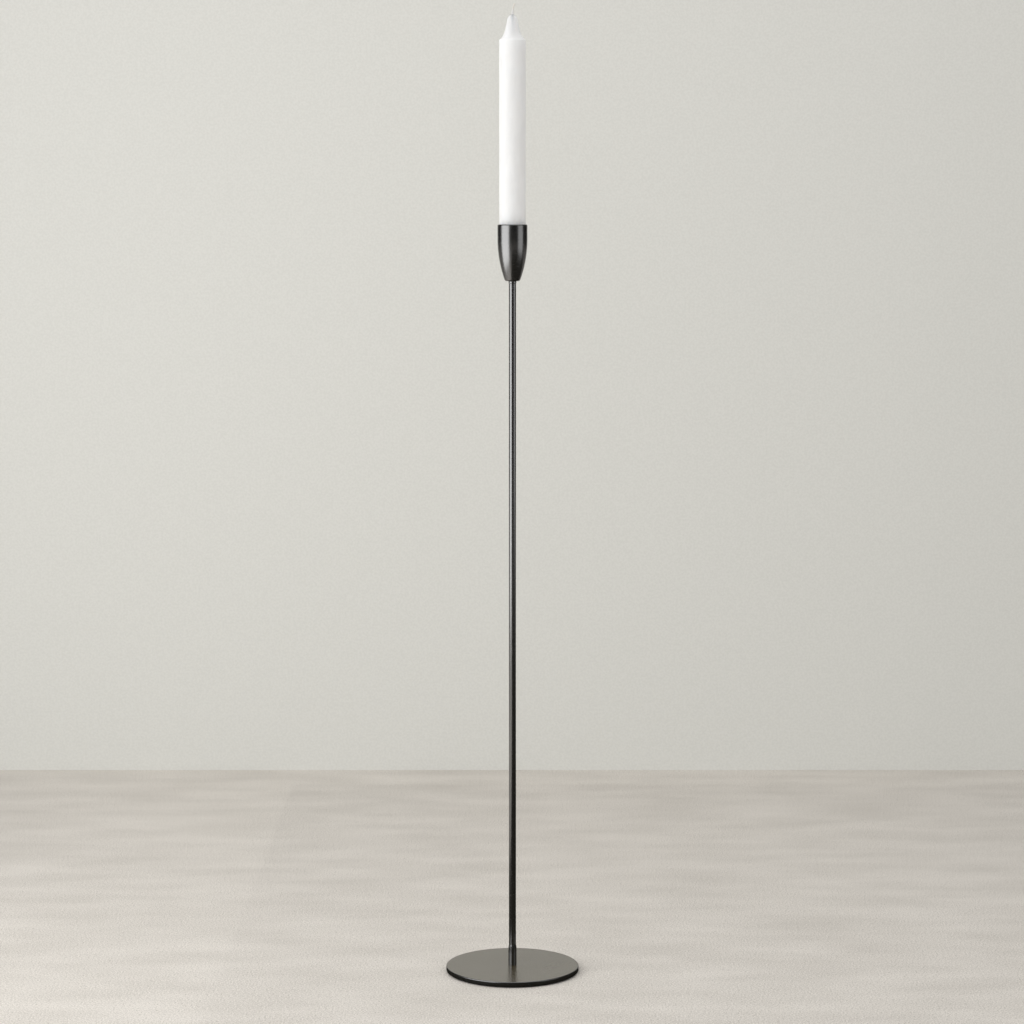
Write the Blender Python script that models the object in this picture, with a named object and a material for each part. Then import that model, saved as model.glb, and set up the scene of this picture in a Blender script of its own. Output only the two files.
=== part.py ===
"""A tall, slim pillar stand that holds one dinner candle.

A steel disc is the foot. A thin rod stands in a short socket on it and carries a small cup, and the
candle stands in the cup. Everything is turned about +Z, in metres, with the origin at the centre of
the underside, where the stand rests on the table.

Run it with: blender --background --python part.py
"""

import math

import bmesh
import bpy

MM = 0.001

# Driving dimensions
RIM_HEIGHT = 635.0 * MM  # table to the lip of the cup
FOOT_DIAMETER = 113.0 * MM
FOOT_TOP = 5.0 * MM  # table to the upper face of the foot
PLATE_THICKNESS = 4.0 * MM
STEM_DIAMETER = 6.0 * MM
SOCKET_DIAMETER = 7.0 * MM
SOCKET_TOP = 22.9 * MM
CUP_DIAMETER = 25.0 * MM
CUP_HEIGHT = 47.0 * MM
CANDLE_DIAMETER = 22.0 * MM
CANDLE_LENGTH = 205.3 * MM  # foot of the wax to the tip of the wick
CANDLE_DEPTH = 23.6 * MM  # how far the candle stands in the cup
SEAT_GAP = 0.2 * MM  # space left between pieces that touch

# Foot
PLATE_EDGE_RADIUS = 0.9 * MM
PLATE_LOWER_CHAMFER = 0.3 * MM
PAD_THICKNESS = 0.8 * MM
PAD_MARGIN = 2.5 * MM  # from the edge of the plate to the edge of the pad
PAD_HOLE_RADIUS = 10.0 * MM  # leaves the screw head free for a key

# M4 fasteners
THREAD_RADIUS = 2.0 * MM
THREAD_PITCH = 0.7 * MM
THREAD_DEPTH = 0.6134 * THREAD_PITCH
# Where the thread's outline turns: share of a pitch, and whether that point is on the crest
THREAD_STEPS = ((0.0, False), (0.25, False), (0.5625, True), (0.6875, True))
THREAD_ROOT = THREAD_RADIUS - THREAD_DEPTH
THREAD_RUN_OUT = 0.05  # share of a pitch without a crest at each end
THREAD_HOLE_RADIUS = 2.2 * MM
END_CHAMFER = 0.35 * MM  # at the tip of a screw and both ends of the stud
SCREW_LENGTH = 12.0 * MM
STUD_LENGTH = 16.0 * MM
STUD_START = 14.6 * MM  # table to the lower end of the stud
COUNTERSUNK_HEAD_RADIUS = 4.0 * MM
COUNTERSUNK_LAND = 0.25 * MM
BUTTON_HEAD_RADIUS = 3.8 * MM
BUTTON_HEAD_HEIGHT = 2.2 * MM
BUTTON_TOP_RADIUS = 2.0 * MM
SCREW_KEY = (2.5 * MM, 1.3 * MM)  # hexagonal key socket: width across flats, depth
STUD_KEY = (2.0 * MM, 2.0 * MM)
KEY_CUTTER_RISE = 1.0 * MM  # how far its cutter stands out of the screw
WASHER_RADIUS = 4.5 * MM
WASHER_THICKNESS = 0.8 * MM

# Stem, socket and collar
STEM_CHAMFER = 0.25 * MM
STEM_HOLE_DEPTH = 10.0 * MM
DRILL_POINT = 1.2 * MM
SOCKET_CHAMFER = (0.5 * MM, 3.0 * MM)  # in radius, in height
COLLAR_RADIUS = 3.3 * MM
COLLAR_HEIGHT = 2.0 * MM  # with the gaps above and below it
COLLAR_CHAMFER = 0.2 * MM

# Cup
CUP_STRAIGHT = 12.0 * MM  # the wall is a cylinder this far below the lip
CUP_BELLY_RADIUS = 100.0 * MM  # the arc that draws the wall in below that
CUP_WALL = 1.3 * MM
CUP_FLOOR = 2.0 * MM
CUP_CORNER = 2.0 * MM
CUP_INNER_CORNER = 0.8 * MM
LIP_OUTER_RADIUS = 1.0 * MM
LIP_INNER_RADIUS = 0.2 * MM

# Candle
FOOT_TAPER = (0.8 * MM, 14.0 * MM)  # in radius, in height, hidden in the cup
FOOT_EDGE = 0.5 * MM
SHOULDER_ROUND = 0.25 * MM
CONE_FOOT = (6.8 * MM, 7.2 * MM)  # radius, height above the shoulder
CONE_HEAD = (4.6 * MM, 16.6 * MM)
TIP_HEIGHT = 20.8 * MM
WICK_RADIUS = 0.75 * MM
WICK_CHANNEL_RADIUS = 0.95 * MM
WICK_ABOVE_WAX = 9.0 * MM
WICK_END_CHAMFER = 0.3 * MM
WICK_ABOVE_FOOT = 0.5 * MM  # its lower end stops short of the foot of the wax

# Heights worked out from the dimensions above
FOOT_RADIUS = FOOT_DIAMETER / 2
PLATE_BOTTOM = FOOT_TOP - PLATE_THICKNESS
CUP_BOTTOM = RIM_HEIGHT - CUP_HEIGHT
CUP_INSIDE_BOTTOM = CUP_BOTTOM + CUP_FLOOR
STEM_TOP = CUP_BOTTOM - COLLAR_HEIGHT
CANDLE_FOOT = RIM_HEIGHT - CANDLE_DEPTH
WICK_TIP = CANDLE_FOOT + CANDLE_LENGTH
WAX_TIP = WICK_TIP - WICK_ABOVE_WAX
SHOULDER = WAX_TIP - TIP_HEIGHT

# Number of sides of the turned pieces
WIDE_SIDES = 80
CUP_SIDES = 56
CANDLE_SIDES = 48
ROD_SIDES = 32
SCREW_SIDES = 10
MERGE = 1e-7
SMOOTH_ANGLE = math.radians(32)
HEX_SIDES = 6
BELLY_STEPS = 7  # along the arc of the cup
DOME_STEPS = 4  # along a rounded end
EDGE_STEPS = 4  # along a rounded edge


def clear_scene():
    for obj in list(bpy.data.objects):
        bpy.data.objects.remove(obj, do_unlink=True)


def material(name, color, roughness, metallic=0.0):
    """A Principled BSDF of one colour, on viewport and render alike."""
    made = bpy.data.materials.new(name)
    made.use_nodes = True
    shader = made.node_tree.nodes["Principled BSDF"]
    shader.inputs["Base Color"].default_value = (*color, 1.0)
    shader.inputs["Roughness"].default_value = roughness
    shader.inputs["Metallic"].default_value = metallic
    made.diffuse_color = (*color, 1.0)
    return made


def arc(centre, radius, start, end, steps):
    """Points (r, z) on an arc about a centre, from one angle to another in degrees."""
    points = []
    for step in range(steps + 1):
        angle = math.radians(start + (end - start) * step / steps)
        points.append((centre[0] + radius * math.cos(angle), centre[1] + radius * math.sin(angle)))
    return points


def turn(bm, outline, sides, closed=False):
    """Turns an outline of (r, z) points about Z. A closed outline makes a ring with a hole through it."""
    verts = [bm.verts.new((r, 0.0, z)) for r, z in outline]
    pairs = list(zip(verts, verts[1:]))
    if closed:
        pairs.append((verts[-1], verts[0]))
    edges = [bm.edges.new(pair) for pair in pairs]
    bmesh.ops.spin(
        bm, geom=verts + edges, axis=(0, 0, 1), cent=(0, 0, 0), angle=math.tau, steps=sides, use_merge=True
    )


def finish(bm, name, finish_material):
    """Merges the seams, turns the faces outwards, and makes the mesh a smooth-shaded object."""
    bmesh.ops.remove_doubles(bm, verts=bm.verts, dist=MERGE)
    bmesh.ops.recalc_face_normals(bm, faces=bm.faces)
    mesh = bpy.data.meshes.new(name)
    bm.to_mesh(mesh)
    bm.free()
    mesh.shade_smooth()
    mesh.set_sharp_from_angle(angle=SMOOTH_ANGLE)
    mesh.materials.append(finish_material)
    obj = bpy.data.objects.new(name, mesh)
    bpy.context.scene.collection.objects.link(obj)
    return obj


def turned(name, outline, sides, finish_material, closed=True):
    bm = bmesh.new()
    turn(bm, outline, sides, closed)
    return finish(bm, name, finish_material)


def thread(bm, low, high, sides):
    """The helical skin of a right-hand thread between two heights, with a root ring at each end."""
    run_out = THREAD_RUN_OUT * THREAD_PITCH
    turns = math.ceil((high - low) / THREAD_PITCH) + 1
    columns = []
    for side in range(sides):
        angle = math.tau * side / sides
        column = []
        for count in range(-1, turns):
            for share, crest in THREAD_STEPS:
                z = low + (count + share + side / sides) * THREAD_PITCH
                full = crest and low + run_out < z < high - run_out
                r = THREAD_RADIUS if full else THREAD_ROOT
                z = min(max(z, low), high)
                column.append(bm.verts.new((r * math.cos(angle), r * math.sin(angle), z)))
        columns.append(column)
    # The last column meets the first one a full turn higher up.
    columns.append(columns[0][len(THREAD_STEPS):])
    for left, right in zip(columns, columns[1:]):
        for step in range(min(len(left), len(right)) - 1):
            bm.faces.new((left[step], right[step], right[step + 1], left[step + 1]))


def cut_key_socket(fastener, top, key):
    """Cuts a hexagonal key socket down from the screw's upper end, with a hidden prism."""
    width, depth = key
    corner = width / 2 / math.cos(math.pi / HEX_SIDES)
    height = depth + KEY_CUTTER_RISE
    bm = bmesh.new()
    bmesh.ops.create_cone(
        bm, cap_ends=True, segments=HEX_SIDES, radius1=corner, radius2=corner, depth=height
    )
    bmesh.ops.translate(bm, verts=bm.verts, vec=(0, 0, top - depth + height / 2))
    mesh = bpy.data.meshes.new(fastener.name + "_key")
    bm.to_mesh(mesh)
    bm.free()
    cutter = bpy.data.objects.new(fastener.name + "_key", mesh)
    bpy.context.scene.collection.objects.link(cutter)
    cutter.parent = fastener
    cutter.hide_render = True
    cutter.display_type = "WIRE"
    cut = fastener.modifiers.new("key_socket", "BOOLEAN")
    cut.operation = "DIFFERENCE"
    cut.solver = "EXACT"
    cut.object = cutter


def screw(name, head, length_below, finish_material):
    """A screw that points down from z = 0. Its head outline runs from the thread's root to the axis."""
    neck = head[0][1]
    end = -length_below
    shoulder = end + END_CHAMFER
    bm = bmesh.new()
    turn(bm, [(0.0, end), (THREAD_ROOT - END_CHAMFER, end), (THREAD_ROOT, shoulder)], SCREW_SIDES)
    thread(bm, shoulder, neck, SCREW_SIDES)
    turn(bm, head, SCREW_SIDES)
    return finish(bm, name, finish_material)


def base_plate(paint):
    """The steel disc, bored and countersunk from below for the screw that holds the socket."""
    flat = FOOT_RADIUS - PLATE_EDGE_RADIUS
    shank = THREAD_HOLE_RADIUS
    sink = COUNTERSUNK_HEAD_RADIUS + 1.5 * SEAT_GAP
    outline = [
        (shank, FOOT_TOP),
        (shank, PLATE_BOTTOM + COUNTERSUNK_LAND + sink - shank),
        (sink, PLATE_BOTTOM + COUNTERSUNK_LAND),
        (sink, PLATE_BOTTOM),
        (FOOT_RADIUS - PLATE_LOWER_CHAMFER, PLATE_BOTTOM),
        (FOOT_RADIUS, PLATE_BOTTOM + PLATE_LOWER_CHAMFER),
    ]
    outline += arc((flat, FOOT_TOP - PLATE_EDGE_RADIUS), PLATE_EDGE_RADIUS, 0, 90, EDGE_STEPS)
    return turned("base_plate", outline, WIDE_SIDES, paint)


def base_pad(felt):
    """A felt ring on the underside. The stand rests on it."""
    outer = FOOT_RADIUS - PAD_MARGIN
    outline = [
        (PAD_HOLE_RADIUS, PAD_THICKNESS),
        (PAD_HOLE_RADIUS, 0.0),
        (outer, 0.0),
        (outer, PAD_THICKNESS),
    ]
    return turned("base_pad", outline, WIDE_SIDES, felt)


def base_screw(steel):
    """A countersunk screw, driven up through the plate into the socket."""
    cone_end = COUNTERSUNK_HEAD_RADIUS - THREAD_RADIUS + COUNTERSUNK_LAND
    head = [
        (THREAD_ROOT, -cone_end - THREAD_DEPTH),
        (THREAD_RADIUS, -cone_end),
        (COUNTERSUNK_HEAD_RADIUS, -COUNTERSUNK_LAND),
        (COUNTERSUNK_HEAD_RADIUS, 0.0),
        (0.0, 0.0),
    ]
    made = screw("base_screw", head, SCREW_LENGTH, steel)
    made.rotation_euler = (math.pi, 0.0, 0.0)
    made.location = (0.0, 0.0, PLATE_BOTTOM + SEAT_GAP / 2)
    cut_key_socket(made, 0.0, SCREW_KEY)
    return made


def base_socket(paint):
    """The short sleeve that the stem screws down onto, with a long chamfer at its top."""
    radius = SOCKET_DIAMETER / 2
    in_radius, in_height = SOCKET_CHAMFER
    outline = [
        (THREAD_HOLE_RADIUS, SOCKET_TOP),
        (THREAD_HOLE_RADIUS, FOOT_TOP + SEAT_GAP),
        (radius, FOOT_TOP + SEAT_GAP),
        (radius, SOCKET_TOP - in_height),
        (radius - in_radius, SOCKET_TOP),
    ]
    return turned("base_socket", outline, ROD_SIDES, paint)


def lower_stud(steel):
    """A threaded stud that joins the socket and the stem. It is hidden inside both."""
    head = [(THREAD_ROOT, -END_CHAMFER), (THREAD_ROOT - END_CHAMFER / 2, 0.0), (0.0, 0.0)]
    made = screw("lower_stud", head, STUD_LENGTH, steel)
    made.location = (0.0, 0.0, STUD_START + STUD_LENGTH)
    cut_key_socket(made, 0.0, STUD_KEY)
    return made


def stem(paint):
    """The long rod, drilled at both ends for the stud and for the screw of the cup."""
    radius = STEM_DIAMETER / 2
    hole = THREAD_HOLE_RADIUS
    bottom = SOCKET_TOP + SEAT_GAP
    lower_end = bottom + STEM_HOLE_DEPTH
    upper_end = STEM_TOP - STEM_HOLE_DEPTH
    outline = [
        (0.0, upper_end - DRILL_POINT),
        (hole, upper_end),
        (hole, STEM_TOP),
        (radius - STEM_CHAMFER, STEM_TOP),
        (radius, STEM_TOP - STEM_CHAMFER),
        (radius, bottom + STEM_CHAMFER),
        (radius - STEM_CHAMFER, bottom),
        (hole, bottom),
        (hole, lower_end),
        (0.0, lower_end + DRILL_POINT),
    ]
    return turned("stem", outline, ROD_SIDES, paint, closed=False)


def neck_collar(paint):
    """The ring between the stem and the cup."""
    bottom = STEM_TOP + SEAT_GAP
    top = CUP_BOTTOM - SEAT_GAP
    outline = [
        (THREAD_HOLE_RADIUS, top),
        (THREAD_HOLE_RADIUS, bottom),
        (COLLAR_RADIUS - COLLAR_CHAMFER, bottom),
        (COLLAR_RADIUS, bottom + COLLAR_CHAMFER),
        (COLLAR_RADIUS, top - COLLAR_CHAMFER),
        (COLLAR_RADIUS - COLLAR_CHAMFER, top),
    ]
    return turned("neck_collar", outline, ROD_SIDES, paint)


def cup_side(depth, floor, corner, steps):
    """One face of the cup's wall, at a depth into the metal, from its straight part down to its floor."""
    centre = (CUP_DIAMETER / 2 - CUP_BELLY_RADIUS, RIM_HEIGHT - CUP_STRAIGHT)
    radius = CUP_BELLY_RADIUS - depth
    corner_z = floor + corner
    angle = -math.degrees(math.asin((centre[1] - corner_z) / (radius - corner)))
    corner_r = centre[0] + (radius - corner) * math.cos(math.radians(angle))
    return arc(centre, radius, 0, angle, steps) + arc((corner_r, corner_z), corner, angle, -90, 3)[1:]


def cup(paint):
    """The cup: a straight mouth, a wall that draws in on a wide arc, and a flat bored floor."""
    outer = CUP_DIAMETER / 2
    inner = outer - CUP_WALL
    lip = arc((inner + LIP_INNER_RADIUS, RIM_HEIGHT - LIP_INNER_RADIUS), LIP_INNER_RADIUS, 180, 90, 2)
    lip += arc((outer - LIP_OUTER_RADIUS, RIM_HEIGHT - LIP_OUTER_RADIUS), LIP_OUTER_RADIUS, 90, 0, EDGE_STEPS)
    outside = cup_side(0.0, CUP_BOTTOM, CUP_CORNER, BELLY_STEPS)
    inside = cup_side(CUP_WALL, CUP_INSIDE_BOTTOM, CUP_INNER_CORNER, BELLY_STEPS)
    holes = [(THREAD_HOLE_RADIUS, CUP_BOTTOM), (THREAD_HOLE_RADIUS, CUP_INSIDE_BOTTOM)]
    return turned("cup", lip + outside + holes + inside[::-1], CUP_SIDES, paint)


def cup_washer(steel):
    bottom = CUP_INSIDE_BOTTOM + SEAT_GAP
    outline = [
        (THREAD_HOLE_RADIUS, bottom + WASHER_THICKNESS),
        (THREAD_HOLE_RADIUS, bottom),
        (WASHER_RADIUS, bottom),
        (WASHER_RADIUS, bottom + WASHER_THICKNESS),
    ]
    return turned("cup_washer", outline, ROD_SIDES, steel)


def cup_screw(steel):
    """A button-head screw that clamps the washer, the cup and the collar to the top of the stem."""
    span = BUTTON_HEAD_RADIUS - BUTTON_TOP_RADIUS
    head = [(THREAD_ROOT, 0.0), (BUTTON_HEAD_RADIUS, 0.0)]
    for step in range(1, DOME_STEPS + 1):
        angle = math.pi / 2 * step / DOME_STEPS
        head.append((BUTTON_TOP_RADIUS + span * math.cos(angle), BUTTON_HEAD_HEIGHT * math.sin(angle)))
    head.append((0.0, BUTTON_HEAD_HEIGHT))
    made = screw("cup_screw", head, SCREW_LENGTH, steel)
    made.location = (0.0, 0.0, CUP_INSIDE_BOTTOM + WASHER_THICKNESS + 2 * SEAT_GAP)
    cut_key_socket(made, BUTTON_HEAD_HEIGHT, SCREW_KEY)
    return made


def hollow_arc(low, high, lean, steps):
    """The arc up from a low point that runs smoothly into a line leaning inwards at a high point."""
    run = low[0] - high[0]
    rise = high[1] - low[1]
    radius = (run**2 + rise**2) / 2 / (run * math.cos(lean) - rise * math.sin(lean))
    centre = (high[0] + radius * math.cos(lean), high[1] + radius * math.sin(lean))
    start = math.degrees(math.atan2(low[1] - centre[1], low[0] - centre[0]))
    return arc(centre, radius, start, math.degrees(lean) - 180, steps)


def candle_tip():
    """The shoulder, the hollow flare, the cone and the blunt end of the wax, from the side to the wick."""
    edge = CANDLE_DIAMETER / 2 - SHOULDER_ROUND
    points = arc((edge, SHOULDER - SHOULDER_ROUND), SHOULDER_ROUND, 0, 90, 2)
    lean = math.atan2(CONE_FOOT[0] - CONE_HEAD[0], CONE_HEAD[1] - CONE_FOOT[1])
    points += hollow_arc((edge, SHOULDER), (CONE_FOOT[0], SHOULDER + CONE_FOOT[1]), lean, 5)[1:]
    head_z = SHOULDER + CONE_HEAD[1]
    for step in range(DOME_STEPS + 1):
        angle = math.pi / 2 * step / DOME_STEPS
        r = WICK_CHANNEL_RADIUS + (CONE_HEAD[0] - WICK_CHANNEL_RADIUS) * math.cos(angle)
        points.append((r, head_z + (WAX_TIP - head_z) * math.sin(angle)))
    return points


def candle_wax(wax):
    """The candle: a straight body with a coned tip, a slightly tapered foot, and a channel for the wick."""
    radius = CANDLE_DIAMETER / 2
    in_radius, in_height = FOOT_TAPER
    outline = [
        (WICK_CHANNEL_RADIUS, CANDLE_FOOT),
        (radius - in_radius - FOOT_EDGE, CANDLE_FOOT),
        (radius - in_radius, CANDLE_FOOT + FOOT_EDGE),
        (radius, CANDLE_FOOT + in_height),
    ]
    return turned("candle_wax", outline + candle_tip(), CANDLE_SIDES, wax)


def wick(cotton):
    """The wick runs the whole length of the candle and stands out of its tip."""
    bottom = CANDLE_FOOT + WICK_ABOVE_FOOT
    outline = [
        (0.0, WICK_TIP),
        (WICK_RADIUS - WICK_END_CHAMFER, WICK_TIP),
        (WICK_RADIUS, WICK_TIP - WICK_END_CHAMFER),
        (WICK_RADIUS, bottom),
        (0.0, bottom),
    ]
    return turned("wick", outline, SCREW_SIDES, cotton, closed=False)


def empty(name, height):
    made = bpy.data.objects.new(name, None)
    made.location = (0.0, 0.0, height)
    made.empty_display_size = 0.02
    bpy.context.scene.collection.objects.link(made)
    return made


def keep_place_under(parent, pieces):
    """Parents the pieces without moving them."""
    bpy.context.view_layer.update()
    for piece in pieces:
        piece.parent = parent
        piece.matrix_parent_inverse = parent.matrix_world.inverted()


def main():
    clear_scene()
    paint = material("satin_black_paint", (0.022, 0.021, 0.019), 0.3)
    steel = material("zinc_plated_steel", (0.55, 0.55, 0.53), 0.35, metallic=1.0)
    felt = material("black_felt", (0.02, 0.02, 0.02), 0.95)
    wax = material("white_wax", (0.87, 0.86, 0.82), 0.45)
    cotton = material("waxed_cotton", (0.8, 0.77, 0.7), 0.8)

    holder_pieces = [
        base_plate(paint),
        base_pad(felt),
        base_screw(steel),
        base_socket(paint),
        lower_stud(steel),
        stem(paint),
        neck_collar(paint),
        cup(paint),
        cup_washer(steel),
        cup_screw(steel),
    ]
    keep_place_under(empty("holder", 0.0), holder_pieces)
    # The candle lifts straight up out of the cup, so its parent lies on that axis, at its foot.
    keep_place_under(empty("candle", CANDLE_FOOT), [candle_wax(wax), wick(cotton)])


main()
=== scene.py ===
# %% [markdown]
# # A tall stand for one dinner candle
# A steel disc is the foot, a thin rod stands on it in a short socket, and the rod carries a small
# cup that a candle stands in. Everything on it was turned on a lathe, drawn as a bar or bought as
# a screw, so almost every piece here is a circle with a height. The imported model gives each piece
# its place and its size. This script makes the fine surfaces around it, then the finishes, then
# the light.

# %% The frame
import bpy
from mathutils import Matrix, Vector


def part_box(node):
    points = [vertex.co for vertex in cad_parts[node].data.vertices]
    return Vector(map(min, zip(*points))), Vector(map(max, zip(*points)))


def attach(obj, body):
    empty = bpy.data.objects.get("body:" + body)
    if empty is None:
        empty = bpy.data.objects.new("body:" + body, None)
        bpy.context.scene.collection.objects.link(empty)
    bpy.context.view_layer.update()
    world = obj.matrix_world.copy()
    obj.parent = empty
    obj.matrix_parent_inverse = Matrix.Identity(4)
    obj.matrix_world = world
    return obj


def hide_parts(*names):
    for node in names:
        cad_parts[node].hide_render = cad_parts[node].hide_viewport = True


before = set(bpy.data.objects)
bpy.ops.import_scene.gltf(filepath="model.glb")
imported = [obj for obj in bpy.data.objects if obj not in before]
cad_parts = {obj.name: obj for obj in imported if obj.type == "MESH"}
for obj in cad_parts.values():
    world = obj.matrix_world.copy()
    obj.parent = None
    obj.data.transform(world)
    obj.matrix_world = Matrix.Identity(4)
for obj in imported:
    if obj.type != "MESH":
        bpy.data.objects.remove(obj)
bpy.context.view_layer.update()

# %% [markdown]
# ## Tools for modelling
# Blender's own tools act on whatever is selected, so each piece starts from nothing selected, and
# its faces and edges are chosen by where they are. A circle about the stand's axis is the natural
# address here: every edge that gets a bevel lies on one. Two circles that meet are merged, and
# the faces are turned outwards, before a piece counts as finished.

# %% Starting, choosing and closing
import math

import bmesh
import bpy
from mathutils import Matrix, Vector, noise

MM = 0.001
NEAR = 0.002 * MM  # places closer than this are the same place
HAIRLINE = 0.02 * MM  # between two pieces that touch
FLAT = 0.99  # a face lies level when its normal's Z is past this, up or down


def only(piece):
    """Selects one object and nothing else."""
    bpy.ops.object.select_all(action="DESELECT")
    piece.select_set(True)
    bpy.context.view_layer.objects.active = piece


def begin(name):
    """Names the primitive just added, puts its place into its mesh and opens it for editing."""
    piece = bpy.context.object
    piece.name = name
    piece.data.name = name
    bpy.ops.object.transform_apply(location=True, rotation=True, scale=True)
    bpy.ops.object.mode_set(mode="EDIT")
    return piece


def cylinder(name, sides, across, bottom, top):
    """Stands a new cylinder on the axis, between two heights, and opens it for editing."""
    bpy.ops.object.select_all(action="DESELECT")
    bpy.ops.mesh.primitive_cylinder_add(
        vertices=sides, radius=across, depth=top - bottom, location=(0, 0, (top + bottom) / 2)
    )
    return begin(name)


def choose(kind, test):
    """Selects the corners, edges or faces that pass a test."""
    bpy.ops.mesh.select_mode(type=kind)
    bpy.ops.mesh.select_all(action="DESELECT")
    data = bpy.context.object.data
    mesh = bmesh.from_edit_mesh(data)
    found = {"VERT": mesh.verts, "EDGE": mesh.edges, "FACE": mesh.faces}[kind]
    for item in filter(test, found):
        item.select_set(True)
    bmesh.update_edit_mesh(data)


def on_ring(radius, height):
    """A test for edges that lie on one circle about the axis."""
    def test(edge):
        return all(
            abs(math.hypot(end.co.x, end.co.y) - radius) < NEAR and abs(end.co.z - height) < NEAR
            for end in edge.verts
        )
    return test


def level(height, facing):
    """A test for flat faces at a height, facing up (1) or down (-1)."""
    def test(face):
        middle = face.calc_center_median()
        return face.normal.z * facing > FLAT and abs(middle.z - height) < NEAR
    return test


def bevel_ring(across, height, offset, segments):
    """Bevels the edges on one circle about the axis."""
    choose("EDGE", on_ring(across, height))
    bpy.ops.mesh.bevel(offset=offset, segments=segments, affect="EDGES")


def pull(move):
    """Extrudes whatever is selected along a move."""
    bpy.ops.mesh.extrude_region_move(TRANSFORM_OT_translate={"value": move})


def close_up(piece, smooth=30):
    """Merges doubled corners, turns the faces outwards, smooths the round parts and measures."""
    bpy.ops.mesh.select_mode(type="VERT")
    bpy.ops.mesh.select_all(action="SELECT")
    bpy.ops.mesh.remove_doubles(threshold=NEAR / 2)
    bpy.ops.mesh.normals_make_consistent(inside=False)
    mesh = bmesh.from_edit_mesh(piece.data)
    gaps = sum(not edge.is_manifold for edge in mesh.edges)
    bpy.ops.object.mode_set(mode="OBJECT")
    bpy.ops.object.shade_smooth_by_angle(angle=math.radians(smooth))
    size = [round(side / MM, 2) for side in piece.dimensions]
    print(f"{piece.name}: {size} mm, {len(piece.data.polygons)} faces, {gaps} open edges")
    return piece


# %% [markdown]
# ## Where the pieces are
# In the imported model, pieces that touch stand a fraction of a millimetre apart, because two solids
# that share a face confuse a physics engine. To the eye they should meet. So each joint between
# two pieces gets one height, and both pieces are made up to it, less a hairline.

# %% Heights from the frame
def low(node):
    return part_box(node)[0].z


def high(node):
    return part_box(node)[1].z


def radius(node):
    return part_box(node)[1].x


TABLE = low("base_pad")
PLATE_LOW = low("base_plate")
PLATE_HIGH = high("base_plate")
STEM_LOW = (high("base_socket") + low("stem")) / 2
STEM_HIGH = high("stem")
CUP_LOW = low("cup")
LIP = high("cup")
WICK_TIP = high("wick")
WAX_TIP = high("candle_wax")
print("heights in mm:", [round(h / MM, 1) for h in (PLATE_HIGH, STEM_LOW, CUP_LOW, LIP, WAX_TIP)])

# %% [markdown]
# ## The foot
# The real foot is cut from 4 mm steel plate, and its upper edge is rounded over before painting.
# A cylinder is the plate, and three tools finish it: inset and bridge drill the hole for the
# screw, and bevel rounds the edges. A flat that runs straight into a bevel would shade as if it
# were domed, so a narrow ring is set into each flat beside its edge, and the bend in the shading
# stays inside that ring. A turned outline would do as well, but a plate is a plate first.

# %% Foot disc
DISC_SIDES = 192
PLATE_ROUND = 0.9 * MM
PLATE_LOWER_ROUND = 0.3 * MM
SHADE_RING = 0.2 * MM
HOLE = 2.2 * MM  # radius drilled for an M4 screw
SINK = 4.3 * MM  # radius of the countersink at the underside
SINK_LAND = 0.25 * MM  # upright rim that the countersink and the screw's head begin with


def foot_disc():
    across = radius("base_plate")
    piece = cylinder("foot_disc", DISC_SIDES, across, PLATE_LOW, PLATE_HIGH)
    choose("FACE", level(PLATE_HIGH, 1))
    bpy.ops.mesh.inset(thickness=across - HOLE)
    choose("FACE", lambda face: face.normal.z < -FLAT)
    bpy.ops.mesh.inset(thickness=across - SINK)
    pull((0, 0, SINK_LAND))
    pull((0, 0, SINK - HOLE))
    bpy.ops.transform.resize(value=(HOLE / SINK, HOLE / SINK, 1), center_override=(0, 0, 0))
    choose("FACE", lambda face: abs(face.normal.z) > FLAT and len(face.verts) == DISC_SIDES)
    bpy.ops.mesh.bridge_edge_loops()
    bevel_ring(across, PLATE_HIGH, PLATE_ROUND, segments=8)
    bevel_ring(across, PLATE_LOW, PLATE_LOWER_ROUND, segments=3)
    for height, facing in ((PLATE_HIGH, 1), (PLATE_LOW, -1)):
        choose("FACE", level(height, facing))
        bpy.ops.mesh.inset(thickness=SHADE_RING)
    return close_up(piece)


disc = foot_disc()

# %% [markdown]
# ## The felt under it
# A ring of felt, cut with a knife and glued on, lifts the disc a millimetre off the table. It is
# seen only as a dark line in the shadow under the edge. Its cut side is fluffy, and a few hundred
# corners moved a little at random make a truer edge than any texture on a perfect cylinder. The
# corners at the table and under the disc stay where they are, because the stand rests on them.

# %% Felt ring
PAD_HOLE = 10 * MM
PAD_ROUND = 0.15 * MM
SIDE_EDGE = 0.5 * MM  # only the edges up the outer side are taller than this
FLUFF = 0.06 * MM
FLUFF_SEED = 7


def felt_ring():
    across = radius("base_pad")
    top = PLATE_LOW - HAIRLINE
    piece = cylinder("felt_ring", DISC_SIDES, across, TABLE, top)
    choose("FACE", lambda face: abs(face.normal.z) > FLAT)
    bpy.ops.mesh.inset(thickness=across - PAD_HOLE)
    bpy.ops.mesh.bridge_edge_loops(number_cuts=1)
    for height in (TABLE, top):
        bevel_ring(across, height, PAD_ROUND, segments=2)
    choose("EDGE", lambda edge: abs(edge.verts[0].co.z - edge.verts[1].co.z) > SIDE_EDGE)
    bpy.ops.mesh.subdivide(number_cuts=2)
    choose("VERT", lambda corner: TABLE + PAD_ROUND - NEAR < corner.co.z < top - NEAR)
    bpy.ops.transform.vertex_random(offset=FLUFF, seed=FLUFF_SEED)
    return close_up(piece, smooth=60)


felt = felt_ring()

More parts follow.
